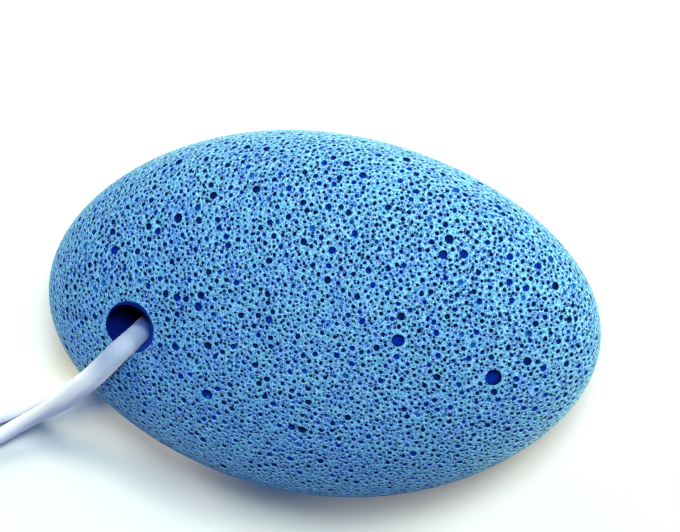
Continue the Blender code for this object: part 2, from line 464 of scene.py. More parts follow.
@dataclass(frozen=True)
class PebbleForm:
    """The rounded form that a hand-sized foot stone is pressed to."""

    length: float = 0.0950
    width: float = 0.0622
    thickness: float = 0.0340
    land_depth: float = 0.0005  # how far the worn flat underneath is cut into the rounded back
    plan_exponent: float = 2.15  # how soon the faces fall away from the middle of the plan
    crown_exponent: float = 2.10  # how full the rounded sides are
    plan_waves: tuple[tuple[int, float, float], ...] = (  # lobes, share of the radius, degrees
        (3, 0.0040, 56.0),
        (4, 0.0104, 25.0),
    )
    direction_rounds: int = 3  # in which a place's direction in the plan is found
    stretch_rounds: int = 6  # in which a point's distance from the skin is found
    land_band: float = 0.003  # height under which depth is also counted from the worn flat
    land_slack: float = 1e-5
    on_land: float = 1e-6  # height under which a point is one of the worn flat's

    @property
    def half_height(self) -> float:
        """Half of the thickness that the stone would have without its worn flat."""
        return (self.thickness + self.land_depth) / 2

    @property
    def middle(self) -> np.ndarray:
        """The middle of the rounded form."""
        return np.array([0.0, 0.0, self.half_height - self.land_depth])

    def wave(self, angle: np.ndarray) -> np.ndarray:
        """How far the plan's radius departs from a true ellipse's, as a factor."""
        waves = (size * np.cos(lobes * angle - math.radians(turn)) for lobes, size, turn in self.plan_waves)
        return 1.0 + sum(waves)

    def spans(self) -> list[tuple[float, float]]:
        """How far the waved unit circle reaches, which is looked up at every half degree.

        Returns:
            The lowest and highest value along X, and then along Y.
        """
        angles = np.radians(np.arange(0.0, 360.0, 0.5))
        reaches = [self.wave(angles) * turn(angles) for turn in (np.cos, np.sin)]
        return [(reach.min(), reach.max()) for reach in reaches]

    def plan(self, across: np.ndarray, angle: np.ndarray) -> list[np.ndarray]:
        """The places at a share of the way from the middle to the plan's edge.

        Args:
            across: The share, 0 in the middle and 1 at the edge.
            angle: The direction in the plan, in radians.

        Returns:
            The X and Y of each place.
        """
        wave = self.wave(angle)
        units = wave * np.cos(angle), wave * np.sin(angle)
        return [
            across * size * (unit - (low + high) / 2) / (high - low)
            for unit, (low, high), size in zip(units, self.spans(), (self.length, self.width))
        ]

    def rise(self, across: np.ndarray) -> np.ndarray:
        """How high the skin is over the stone's middle at a share of the way to the plan's edge."""
        return self.half_height * (1 - across**self.plan_exponent) ** (1 / self.crown_exponent)

    def face(self, places: np.ndarray, side: float) -> np.ndarray:
        """The points of the upper or the lower face at places in the plan.

        Args:
            places: The places, one a row.
            side: 1 for the upper face, and -1 for the lower.

        Returns:
            The points, one a row.
        """
        across = self.across_at(places[:, 0], places[:, 1])
        return np.column_stack([places, self.middle[2] + side * self.rise(across)])

    def press(self, directions: np.ndarray) -> np.ndarray:
        """The points of the skin that directions from the middle stand for.

        Args:
            directions: Unit vectors, one a row.

        Returns:
            The points, one a row.
        """
        across = np.minimum(np.hypot(directions[:, 0], directions[:, 1]), 1.0)
        x, y = self.plan(across, np.arctan2(directions[:, 1], directions[:, 0]))
        z = self.middle[2] + np.copysign(self.rise(across), directions[:, 2])
        return np.stack([x, y, np.maximum(z, 0.0)], axis=1)

    def across_at(self, x: np.ndarray, y: np.ndarray) -> np.ndarray:
        """How far each place is from the plan's middle.

        Args:
            x: Each place's X.
            y: Each place's Y.

        Returns:
            The share of the way to the plan's edge.
        """
        given = np.arctan2(y / self.width, x / self.length)
        angle, edge = given, np.ones_like(given)
        for _ in range(self.direction_rounds):
            edge_x, edge_y = self.plan(edge, angle)
            angle = angle + given - np.arctan2(edge_y / self.width, edge_x / self.length)
        return np.hypot(x, y) / np.hypot(*self.plan(edge, angle))

    def stretch(self, points: np.ndarray) -> np.ndarray:
        """By how much each point's distance from the middle has to grow to reach the rounded skin.

        Args:
            points: The points, one a row.

        Returns:
            The factor for each point, over 1 for a point inside the stone.
        """
        away = points - self.middle
        across = self.across_at(away[:, 0], away[:, 1])
        rise = np.abs(away[:, 2]) / self.half_height
        factor = np.ones(len(points))
        for _ in range(self.stretch_rounds):
            full = (factor * across) ** self.plan_exponent + (factor * rise) ** self.crown_exponent
            factor *= full ** (-1 / self.crown_exponent)
        return factor

    def depth(self, points: np.ndarray) -> np.ndarray:
        """How far below the skin each point lies.

        Args:
            points: The points, one a row.

        Returns:
            The depths in metres, which are never under 0.
        """
        away = np.linalg.norm(points - self.middle, axis=1)
        height = points[:, 2]
        over_land = np.where(height < self.land_band, height + self.land_slack, 1.0)
        return np.maximum(np.minimum((self.stretch(points) - 1) * away, over_land), 0.0)

    def settle(self, points: np.ndarray) -> np.ndarray:
        """Moves points that lie on the faces of a coarse skin out to the rounded one.

        Args:
            points: The points, one a row.

        Returns:
            The moved points. Those on the worn flat stay.
        """
        out = self.middle + (points - self.middle) * self.stretch(points)[:, None]
        out[:, 2] = np.maximum(out[:, 2], 0.0)
        return np.where(points[:, 2:] > self.on_land, out, points)


# Pores


@dataclass(frozen=True)
class PoreShape:
    """The shape of a burst bubble: the rings of its wall under the mouth, in radii of its opening."""

    sides: int
    rings: tuple[tuple[float, float], ...]  # depth and radius
    floor: float  # depth of the lowest point
    uneven: float  # share by which the corners of its mouth are nearer or further

    @property
    def lean(self) -> float:
        """How much the wall draws in at the mouth for each unit of depth."""
        depth, share = self.rings[0] if self.rings else (self.floor, 0.0)
        return (1 - share) / depth


@dataclass(frozen=True)
class PoreGrade:
    """Pores of one size range."""

    count: int
    smallest: float
    largest: float
    shape: PoreShape


@dataclass(frozen=True)
class Pore:
    """One open bubble of the skin."""

    STEEP: ClassVar[float] = 0.9  # how nearly upright a normal has to be to take its side from X

    place: np.ndarray
    normal: np.ndarray  # outward
    outline: np.ndarray  # the corners of its mouth round the place, one a row
    radius: float
    shape: PoreShape
    tone: float  # from 0 for the darkest painted shade on its walls to 1 for the palest

    @property
    def frame(self) -> np.ndarray:
        """The directions that the mouth's two axes and its outward normal have.

        Returns:
            The directions, one a row.
        """
        axis = (0.0, 0.0, 1.0) if abs(self.normal[2]) < self.STEEP else (1.0, 0.0, 0.0)
        side = np.cross(self.normal, axis)
        side /= np.linalg.norm(side)
        return np.array([side, np.cross(self.normal, side), self.normal])

    def reach(self, standoff: float) -> float:
        """How far the body that cuts the pore reaches from its middle."""
        return np.linalg.norm(self.outline, axis=1).max() * self.spread(standoff)

    def spread(self, standoff: float) -> float:
        """The largest size of the body, in sizes of the mouth."""
        rings = (share for _, share in self.shape.rings)
        return max(1 + self.shape.lean * standoff / self.radius, *rings, 1.0)

    def towards(self, direction: np.ndarray, standoff: float) -> float:
        """How far the body that cuts the pore reaches from its middle in one direction."""
        return (self.outline @ (self.frame[:2] @ direction)).max() * self.spread(standoff)

    def body(self, standoff: float, tip: np.ndarray) -> tuple[np.ndarray, list[list[int]]]:
        """The closed body that cuts the pore.

        Args:
            standoff: How far the body stands out of the skin.
            tip: How far the lowest point is off the middle, in radii.

        Returns:
            The body's points and faces.
        """
        sides = self.shape.sides
        rings = [(-standoff, 1 + self.shape.lean * standoff / self.radius)]
        rings += [(depth * self.radius, share) for depth, share in self.shape.rings]
        layers = [np.column_stack([self.outline * share, np.full(sides, -depth)]) for depth, share in rings]
        layers.append(np.array([[*(tip * self.radius), -self.shape.floor * self.radius]]))
        points = self.place + np.concatenate(layers) @ self.frame
        faces = [list(range(sides))]
        for ring, corner in product(range(len(rings) - 1), range(sides)):
            here, after = ring * sides + corner, ring * sides + (corner + 1) % sides
            faces.append([here, here + sides, after + sides, after])
        last, lowest = (len(rings) - 1) * sides, len(rings) * sides
        faces += [[last + corner, lowest, last + (corner + 1) % sides] for corner in range(sides)]
        return points, faces


PIT = PoreShape(sides=5, rings=(), floor=1.7, uneven=0.11)
PITLET = PoreShape(sides=6, rings=(), floor=1.6, uneven=0.10)
BOWL = PoreShape(sides=7, rings=((0.16, 0.88),), floor=1.15, uneven=0.09)
BUBBLE = PoreShape(sides=12, rings=((0.10, 0.92), (0.45, 1.03), (0.95, 0.80)), floor=1.25, uneven=0.035)

Spot = tuple[np.ndarray, np.ndarray]  # a point of the skin and its outward normal
Taken = dict[tuple[int, ...], list[tuple[Pore, float]]]  # the pores of each cell, each with its reach


@dataclass
class PoreField:
    """All the open bubbles of the stone's skin, scattered from the largest to the smallest."""

    form: PebbleForm
    bore: "CordBore"
    landmarks: tuple[tuple[float, float, float, float], ...] = (  # x, y, opening and tone
        (0.0325, -0.0033, 0.0030, 0.80),
        (0.0173, 0.0020, 0.0023, 0.80),
        (-0.0145, -0.0113, 0.0021, 0.62),
        (-0.0214, 0.0172, 0.0018, 0.10),
        (-0.0324, 0.0104, 0.0017, 0.62),
        (-0.0163, 0.0037, 0.0016, 0.70),
        (-0.0143, -0.0026, 0.0015, 0.30),
        (-0.0201, -0.0037, 0.0015, 0.75),
        (0.0236, 0.0183, 0.0017, 0.30),
        (0.0230, 0.0160, 0.0016, 0.55),
        (0.0262, 0.0162, 0.0016, 0.60),
        (-0.0086, 0.0232, 0.0015, 0.10),
        (0.0375, -0.0004, 0.0016, 0.40),
        (0.0019, -0.0153, 0.0015, 0.20),
        (-0.0265, 0.0151, 0.0013, 0.30),
        (-0.0247, 0.0147, 0.0013, 0.55),
    )
    grades: tuple[PoreGrade, ...] = (
        PoreGrade(40, 1.30 * MM, 1.50 * MM, BUBBLE),
        PoreGrade(230, 1.10 * MM, 1.30 * MM, BOWL),
        PoreGrade(700, 0.92 * MM, 1.10 * MM, BOWL),
        PoreGrade(2400, 0.72 * MM, 0.92 * MM, PITLET),
        PoreGrade(7600, 0.44 * MM, 0.72 * MM, PIT),
    )
    thinnest_wall: float = 0.03 * MM
    standoff: float = 0.10 * MM  # how far a cutter stands out of the coarse skin
    grid: float = 1.3 * MM
    neighbours: tuple[int, ...] = (-2, -1, 0, 1, 2)  # how many cells away pores are near enough to touch
    seed: int = 23
    tries: int = 80
    batch: int = 4096  # places that are drawn at a time
    crowding: tuple[float, float] = (0.62, 0.24)  # the chance that a place is taken, and how much it varies
    long_wave: tuple[float, ...] = (0.9, 1.3, 0.7)  # radians a mm, and the size and radians a mm of its bend
    cross_wave: tuple[float, ...] = (1.1, 0.8, 1.1, 0.5)  # the same, with radians a mm of height second
    jitter: float = 0.18  # how far a mouth's corner strays along it, in sides
    lopsided: float = 0.2  # how far a pore's lowest point strays from the middle, in radii
    probe: float = 0.1 * MM  # how far apart two points of the skin are that show how it slopes

    def scatter(self, skin: bpy.types.Mesh) -> list[Pore]:
        """Chooses where each pore goes.

        Args:
            skin: The stone's skin before it is pitted.

        Returns:
            The pores.
        """
        rng = np.random.default_rng(self.seed)
        spots = self._spots(skin, rng)
        taken: Taken = {}
        pores = []
        for radius, shape, place, tone in self._wanted(rng):
            outline = self._outline(radius, shape, rng)
            for _ in range(self.tries):
                spot, normal = next(spots) if place is None else self._spot_above(place)
                pore = Pore(spot, normal, outline, radius, shape, tone)
                if place is None and not (self._welcome(spot, rng) and self._fits(pore, taken)):
                    continue
                taken.setdefault(self._cell(spot), []).append((pore, pore.reach(self.standoff)))
                pores.append(pore)
                break
        log.info("%d pores", len(pores))
        return pores

    def _wanted(
        self, rng: np.random.Generator
    ) -> Iterator[tuple[float, PoreShape, tuple[float, float] | None, float]]:
        """The pores to be placed, from the ones that stand out to the smallest.

        Args:
            rng: Gives the sizes and tones.

        Returns:
            Each pore's radius and shape, its place in the plan where that is given, and its tone.
        """
        for x, y, opening, tone in self.landmarks:
            yield opening / 2, BUBBLE, (x, y), tone
        for grade in self.grades:
            for opening in np.sort(rng.uniform(grade.smallest, grade.largest, grade.count))[::-1]:
                yield opening / 2, grade.shape, None, rng.random()

    def _outline(self, radius: float, shape: PoreShape, rng: np.random.Generator) -> np.ndarray:
        """The corners of an uneven mouth, flattened a little in one direction.

        Args:
            radius: The radius of the circle that covers as much.
            shape: The pore's shape.
            rng: Gives its unevenness.

        Returns:
            The corners, one a row.
        """
        sides = shape.sides
        squash = rng.uniform(1 - 2 * shape.uneven, 1.0)
        radius = radius / math.sqrt(sides / math.tau * math.sin(math.tau / sides) * squash)
        corners = np.arange(sides) + rng.uniform(-self.jitter, self.jitter, sides)
        angles = corners * math.tau / sides + rng.uniform(0, math.tau)
        away = radius * rng.uniform(1 - shape.uneven, 1 + shape.uneven, sides)
        x, y = away * np.cos(angles), away * np.sin(angles) * squash
        turn = rng.uniform(0, math.tau)
        cosine, sine = math.cos(turn), math.sin(turn)
        return np.column_stack([x * cosine - y * sine, x * sine + y * cosine])

    def _spots(self, skin: bpy.types.Mesh, rng: np.random.Generator) -> Iterator[Spot]:
        """Places spread evenly over the skin, without end.

        Args:
            skin: The stone's skin, of triangles.
            rng: Gives the places.

        Returns:
            Each place with its outward normal.
        """
        points = read_points(skin)[read_triangles(skin)]
        normals = np.cross(points[:, 1] - points[:, 0], points[:, 2] - points[:, 0])
        doubled = np.linalg.norm(normals, axis=1)
        normals /= doubled[:, None]
        shares = np.cumsum(doubled) / doubled.sum()
        while True:
            chosen = np.searchsorted(shares, rng.random(self.batch))
            along = rng.random((self.batch, 2))
            along = np.where(along.sum(axis=1, keepdims=True) > 1, 1 - along, along)
            first, second, third = points[chosen, 0], points[chosen, 1], points[chosen, 2]
            places = first + along[:, :1] * (second - first) + along[:, 1:] * (third - first)
            yield from zip(places, normals[chosen])

    def _spot_above(self, place: tuple[float, float]) -> Spot:
        """The point of the upper face over a place in the plan.

        Args:
            place: The place's X and Y.

        Returns:
            The point and its outward normal.
        """
        x, y = place
        points = self.form.face(np.array([place, (x + self.probe, y), (x, y + self.probe)]), 1.0)
        normal = np.cross(points[1] - points[0], points[2] - points[0])
        return points[0], normal / np.linalg.norm(normal)

    def _welcome(self, spot: np.ndarray, rng: np.random.Generator) -> bool:
        """Whether a pore may open here: pores crowd in some patches and are fewer in others.

        Args:
            spot: The place.
            rng: Gives the luck of the draw.

        Returns:
            Whether it may.
        """
        x, y, z = spot / MM
        pace, bend, bend_pace = self.long_wave
        cloud = math.sin(pace * x + bend * math.sin(bend_pace * y))
        pace, fall, bend, bend_pace = self.cross_wave
        cloud += math.sin(pace * y - fall * z + bend * math.sin(bend_pace * x))
        base, swing = self.crowding
        return rng.random() < base + swing * cloud

    def _cell(self, spot: np.ndarray) -> tuple[int, ...]:
        """The cell of a coarse grid that a place is in."""
        return tuple(np.floor(spot / self.grid).astype(int).tolist())

    def _near(self, spot: np.ndarray, taken: Taken) -> Iterator[tuple[Pore, float]]:
        """The pores near a place.

        Args:
            spot: The place.
            taken: The pores that are placed.

        Returns:
            Each pore in the cells round it, with its reach.
        """
        x, y, z = self._cell(spot)
        for i, j, k in product(self.neighbours, repeat=3):
            yield from taken.get((x + i, y + j, z + k), ())

    def _fits(self, pore: Pore, taken: Taken) -> bool:
        """Whether a pore leaves the bore's rim whole, and a wall to every pore near it.

        Args:
            pore: The pore.
            taken: The pores that are placed.

        Returns:
            Whether it fits.
        """
        reach = pore.reach(self.standoff)
        if not self.bore.clear(pore.place, reach):
            return False
        for other, size in self._near(pore.place, taken):
            apart = math.dist(pore.place, other.place)
            if apart < reach + size + self.thinnest_wall and not self._walled(pore, other, apart):
                return False
        return True

    def _walled(self, pore: Pore, other: Pore, apart: float) -> bool:
        """Whether a plane between two pores leaves a wall on it.

        Args:
            pore: One pore.
            other: The other.
            apart: The distance between their places.

        Returns:
            Whether it does.
        """
        direction = (other.place - pore.place) / max(apart, TINY)
        filled = pore.towards(direction, self.standoff) + other.towards(-direction, self.standoff)
        return filled + self.thinnest_wall < apart

    def cutter(self, pores: Sequence[Pore]) -> bpy.types.Object:
        """One mesh with a closed body for each pore.

        Args:
            pores: The pores.

        Returns:
            The cutter.
        """
        rng = np.random.default_rng(self.seed + 1)
        points, faces, count = [], [], 0
        for pore in pores:
            body, shell = pore.body(self.standoff, rng.uniform(-self.lopsided, self.lopsided, 2))
            points.append(body)
            faces += [[corner + count for corner in face] for face in shell]
            count += len(body)
        return add_mesh("pore_cutter", np.concatenate(points), faces)


# Bore


@dataclass(frozen=True)
class CordBore:
    """The bore for the cord through the stone's narrow end, with its worn mouths."""

    x: float = -0.0293
    y: float = -0.0020
    radius: float = 0.0038
    mouth_radius: float = 0.0047
    mouth_depth: float = 1.8 * MM  # how far down a mouth is worn
    mouth_aside: tuple[float, float] = (0.0007, 0.0001)  # how far the mouths are worn to one side
    rim: float = 0.35 * MM  # skin left whole round a mouth
    sides: int = 64
    steps: int = 8  # rings in a mouth's rounding
    last_turn: float = 62.0  # degrees of the rounding's quarter circle that are worn
    standoff: float = 1.5 * MM
    foot_inset: float = 0.1 * MM  # how far inside the bore's wall the cutter of a mouth starts
    foot_drop: float = 0.3 * MM  # and how far under the part that it wears
    slack: float = 0.01 * MM  # by which its rings are wider than the worn form
    flare: float = 0.2 * MM  # by which it widens outside the skin

    @property
    def mouth(self) -> tuple[float, float]:
        """The middle of the mouths in the plan."""
        return self.x + self.mouth_aside[0], self.y + self.mouth_aside[1]

    def clear(self, place: np.ndarray, radius: float) -> bool:
        """Whether a pore leaves the bore's rim whole."""
        return math.dist(place[:2], self.mouth) > self.mouth_radius + self.rim + radius

    def bar(self, form: PebbleForm) -> bpy.types.Object:
        """The round bar that cuts the bore.

        Args:
            form: The stone's form, whose whole thickness it goes through.

        Returns:
            The cutter.
        """
        deselect_all()
        bpy.ops.mesh.primitive_cylinder_add(
            vertices=self.sides,
            radius=self.radius,
            depth=2 * form.thickness,
            location=(self.x, self.y, form.thickness / 2),
        )
        return apply_place()

    def bell(self, place: Vector, normal: Vector, sag: float) -> bpy.types.Object:
        """The bell that wears one mouth: a disc drawn out of the bore and widened ring by ring.

        Args:
            place: The point of the skin in the middle of the mouth.
            normal: The skin's outward direction there.
            sag: How far the skin has fallen away from that point at the mouth's edge.

        Returns:
            The cutter.
        """
        radii, heights = self._profile(sag)
        deselect_all()
        bpy.ops.mesh.primitive_circle_add(vertices=self.sides, radius=radii[0], fill_type="NGON")
        bell = bpy.context.object
        bpy.ops.object.mode_set(mode="EDIT")
        bpy.ops.mesh.select_all(action="SELECT")
        bpy.ops.mesh.flip_normals()
        for lower, upper, low, high in zip(radii, radii[1:], heights, heights[1:]):
            bpy.ops.mesh.extrude_region_move(TRANSFORM_OT_translate={"value": (0, 0, high - low)})
            grow = upper / lower
            bpy.ops.transform.resize(value=(grow, grow, 1.0), center_override=(0, 0, high - heights[0]))
        bpy.ops.mesh.select_all(action="SELECT")
        bpy.ops.mesh.normals_make_consistent(inside=False)
        bpy.ops.object.mode_set(mode="OBJECT")
        bell.rotation_euler = normal.to_track_quat("Z", "Y").to_euler()
        bell.location = place + normal * heights[0]
        return apply_place()

    def _profile(self, sag: float) -> tuple[list[float], list[float]]:
        """The rings of a mouth's cutter.

        Args:
            sag: How far the skin has fallen away at the mouth's edge.

        Returns:
            Each ring's radius, and its height over the skin in the middle of the mouth.
        """
        inner = self.radius - math.hypot(*self.mouth_aside) - self.foot_inset
        end = math.radians(self.last_turn)
        radii, heights = [inner], [-sag - self.mouth_depth - self.foot_drop]
        for step in range(self.steps + 1):
            angle = end * step / self.steps
            grown = (self.mouth_radius - inner) * (1 - math.cos(angle)) / (1 - math.cos(end))
            radii.append(inner + grown + self.slack)
            heights.append(-sag - self.mouth_depth * (1 - math.sin(angle) / math.sin(end)))
        slope = (radii[-1] - radii[-2]) / (heights[-1] - heights[-2])
        radii.append(radii[-1] + slope * sag)
        heights.append(0.0)
        radii.append(radii[-1] + self.flare)
        heights.append(self.standoff)
        return radii, heights


# Finishes


@dataclass(frozen=True)
class StoneFinish:
    """Foamed stone, blue through and through: mottled skin full of pinholes, and burst bubbles, with painted
    shade in the pinholes, the bubbles and the bore and towards the bottom.
    """

    blue: Colour = linear(24, 80, 170)
    turquoise: Colour = linear(46, 118, 162)
    pale: Colour = linear(120, 180, 224)  # the lips of pores and the walls of the net
    # the dark mottling's colour, also the colour of the painted shade low down
    mottle_and_low_shade: Colour = linear(10, 52, 136)
    # painted shade: the dark colour of pinholes too small to cut
    pinhole: Colour = linear(1, 27, 85)
    # painted shade: pore walls take these darker colours, chosen by each pore's tone
    deep: Colour = linear(1, 29, 90)  # the darkest painted shade on pore walls
    royal: Colour = linear(3, 38, 139)
    faint: Colour = linear(31, 92, 166)  # the palest painted shade on pore walls
    throat_shade: Colour = linear(10, 38, 124)  # painted shade of the bore's worn mouth
    # painted shade of the bore's shaft
    bore: Colour = linear(3, 25, 118)
    deep_end: float = 0.42  # the tone up to which a pore has the deep blue
    royal_tones: Range = (0.6, 0.88)

    lip_depth: Range = (0.05 * MM, 0.15 * MM)  # how far down a pore's lip gives way to the painted shade of its wall
    lip_share: float = 0.8
    rim_depth: Range = (0.0, 0.14 * MM)  # how far down the skin gives way to the throat's painted shade
    throat_depth: Range = (0.9 * MM, 1.6 * MM)  # and that to the darker painted shade of the bore

    patch: float = 3.0 * MM
    patch_roughness: float = 0.6
    patch_edge: Range = (0.40, 0.54)
    cell: float = 0.70 * MM
    wall_edge: Range = (0.11, 0.03)  # how near a cell's edge the net's walls are
    wall_share: float = 0.6
    hollow_edge: Range = (0.42, 0.26)  # how near a cell's middle its dimple is
    hollow_spread: float = 0.14  # by how much dimples differ in size
    hole_luck: Range = (0.68, 0.70)  # which cells get a pinhole's painted shade
    dark_luck: Range = (0.60, 0.05)  # and which are dark
    dark_share: float = 0.8
    grain: float = 0.34 * MM
    grain_roughness: float = 0.7
    dark_grain: Range = (0.48, 0.32)
    dark_grain_share: float = 0.8
    pale_grain: Range = (0.52, 0.66)
    pale_grain_share: float = 0.9
    low: Range = (0.016, 0.003)  # heights over which painted shade darkens the stone downwards
    low_shade_share: float = 0.5
    wall_height: float = 0.4
    dimple_drop: float = 0.3
    pinhole_drop: float = 0.7
    bump_strength: float = 0.5
    bump_relief: float = 0.10 * MM

    roughness: float = 0.92
    gloss: float = 0.03
    sheen: float = 0.25  # outside only, and none on the walls of holes
    sheen_roughness: float = 0.5
    sheen_tint: Colour = (0.65, 1.0, 0.85)

    def material(self) -> bpy.types.Material:
        """Builds the finish.

        Returns:
            The material.
        """
        paint = Paint(Slot.STONE.value)
        skin, height = self._skin(paint)
        pit, bore, depth = (paint.attribute(name) for name in ("pit", "bore", "depth"))
        colour = paint.mix(pit, skin, self._pore(paint, skin, depth))
        inputs = {
            "Base Color": paint.mix(bore, colour, self._bore(paint, skin, depth)),
            "Roughness": self.roughness,
            "Normal": paint.bump(height, self.bump_strength, self.bump_relief),
            "Specular IOR Level": self.gloss,
        }
        inside = paint.principled(inputs)
        inputs |= {"Sheen Weight": self.sheen, "Sheen Roughness": self.sheen_roughness}
        outside = paint.principled(inputs | {"Sheen Tint": self.sheen_tint})
        return paint.finish(paint.node("ShaderNodeMixShader", {}, {0: pit + bore, 1: outside, 2: inside}))

    def _pore(self, paint: Paint, skin: Wire, depth: Wire) -> Wire:
        """Adds the painted shade on the walls of pores, each of one tone under its pale lip.

        Args:
            paint: The material's builder.
            skin: The skin's colour.
            depth: How far below the skin a place is.

        Returns:
            The colour.
        """
        royal_start, royal_end = self.royal_tones
        stops = [(0.0, self.deep), (self.deep_end, self.deep), (royal_start, self.royal)]
        stops += [(royal_end, self.royal), (1.0, self.faint)]
        wall = paint.node("ShaderNodeValToRGB", {"stops": stops}, {"Fac": paint.attribute("tone")})
        lip = paint.mix(self.lip_share, skin, self.pale)
        return paint.mix(depth.step(*self.lip_depth), lip, wall)

    def _bore(self, paint: Paint, skin: Wire, depth: Wire) -> Wire:
        """Adds the bore's painted shade: the skin gives way to the darker colour of its worn mouth, and that
        to the darker one of its shaft.

        Args:
            paint: The material's builder.
            skin: The skin's colour.
            depth: How far below the skin a place is.

        Returns:
            The colour.
        """
        throat_shade = paint.mix(depth.step(*self.throat_depth), self.throat_shade, self.bore)
        throat_shade = paint.mix(depth.step(*self.rim_depth), skin, throat_shade)
        return paint.mix(paint.attribute("shaft"), throat_shade, self.bore)

    def _skin(self, paint: Paint) -> tuple[Wire, Wire]:
        """Adds the skin between the pores: a net of thin pale walls round small dimples, and pinholes
        painted dark as painted shade, with painted shade darkening it downwards.

        Args:
            paint: The material's builder.

        Returns:
            The colour and the height.
        """
        place = paint.place()
        patches = paint.noise(place, self.patch, self.patch_roughness)
        grain = paint.noise(place, self.grain, self.grain_roughness)
        # painted shade: 1 low down, where the stone is darkened towards its bottom
        low = paint.node("ShaderNodeSeparateXYZ", {}, {"Vector": place}, "Z").step(*self.low)
        kind = {"Color": paint.cells(place, self.cell, "Color")}
        luck = paint.node("ShaderNodeSeparateColor", {}, kind, "Red")
        size = paint.node("ShaderNodeSeparateColor", {}, kind, "Green")
        away = paint.cells(place, self.cell, "Distance")
        wall = paint.cells(place, self.cell, "Distance", "DISTANCE_TO_EDGE").step(*self.wall_edge)
        hollow = (away - size * self.hollow_spread).step(*self.hollow_edge)
        hole = hollow * luck.step(*self.hole_luck)
        colour = paint.mix(patches.step(*self.patch_edge), self.blue, self.turquoise)
        for share, tint in (
            (luck.step(*self.dark_luck) * self.dark_share, self.mottle_and_low_shade),
            (grain.step(*self.dark_grain) * self.dark_grain_share, self.mottle_and_low_shade),
            # painted shade, darker towards the bottom
            (low * self.low_shade_share, self.mottle_and_low_shade),
            (wall * self.wall_share, self.pale),
            (grain.step(*self.pale_grain) * self.pale_grain_share, self.pale),
            # painted shade in the pinholes
            (hole, self.pinhole),
        ):
            colour = paint.mix(share, colour, tint)
        return colour, wall * self.wall_height - hollow * (self.dimple_drop + hole * self.pinhole_drop)


@dataclass(frozen=True)
class CordFinish:
    """Soft white braided yarn, with painted blue bounce light and shade from the stone near the bore and
    painted shade inside it.
    """

    crest: Colour = linear(220, 226, 238)
    # painted shade in the braid's grooves, also the tint of random fibres
    groove_shade: Colour = linear(206, 214, 231)
    # painted blue bounce light and shade from the stone, near the bore
    painted_bounce: Colour = linear(122, 140, 178)
    # painted shade inside the bore
    painted_bore_shade: Colour = linear(24, 62, 150)
    crest_edge: Range = (0.0, 0.8)
    painted_bounce_edge: Range = (0.0, 0.5)
    painted_bore_shade_edge: Range = (0.5, 1.0)
    fibre: float = 0.11 * MM
    fibre_roughness: float = 0.6
    fibre_edge: Range = (0.6, 0.35)
    fibre_share: float = 0.25
    bump_strength: float = 0.3
    bump_relief: float = 0.05 * MM
    roughness: float = 0.85
    gloss: float = 0.2
    sheen: float = 0.3
    sheen_roughness: float = 0.5

    def material(self) -> bpy.types.Material:
        """Builds the finish.

        Returns:
            The material.
        """
        paint = Paint(Slot.CORD.value)
        painted_bounce_shade = paint.attribute("painted_bounce_shade")
        fibres = paint.noise(paint.place(), self.fibre, self.fibre_roughness)
        # painted shade: darker in the grooves between yarns, lighter on their crests
        colour = paint.mix(paint.attribute("crest").step(*self.crest_edge), self.groove_shade, self.crest)
        for share, tint in (
            (fibres.step(*self.fibre_edge) * self.fibre_share, self.groove_shade),
            # painted blue bounce light and shade near the stone, and painted shade in the bore
            (painted_bounce_shade.step(*self.painted_bounce_edge), self.painted_bounce),
            (painted_bounce_shade.step(*self.painted_bore_shade_edge), self.painted_bore_shade),
        ):
            colour = paint.mix(share, colour, tint)
        inputs = {
            "Base Color": colour,
            "Roughness": self.roughness,
            "Normal": paint.bump(fibres, self.bump_strength, self.bump_relief),
            "Specular IOR Level": self.gloss,
            "Sheen Weight": self.sheen,
            "Sheen Roughness": self.sheen_roughness,
        }
        return paint.finish(paint.principled(inputs))


@dataclass(frozen=True)
class FloorFinish:
    """A plain pale studio floor."""

    white: Colour = (0.84, 0.83, 0.80)
    shade: Colour = (0.82, 0.81, 0.78)
    shade_share: float = 0.04
    cloud: float = 60 * MM
    roughness: float = 0.8
    gloss: float = 0.2

    def material(self) -> bpy.types.Material:
        """Builds the finish.

        Returns:
            The material.
        """
        paint = Paint("studio_floor")
        drift = paint.noise(paint.place(), self.cloud)
        colour = paint.mix(drift * self.shade_share, self.white, self.shade)
        inputs = {"Base Color": colour, "Roughness": self.roughness, "Specular IOR Level": self.gloss}
        return paint.finish(paint.principled(inputs))


# Stone


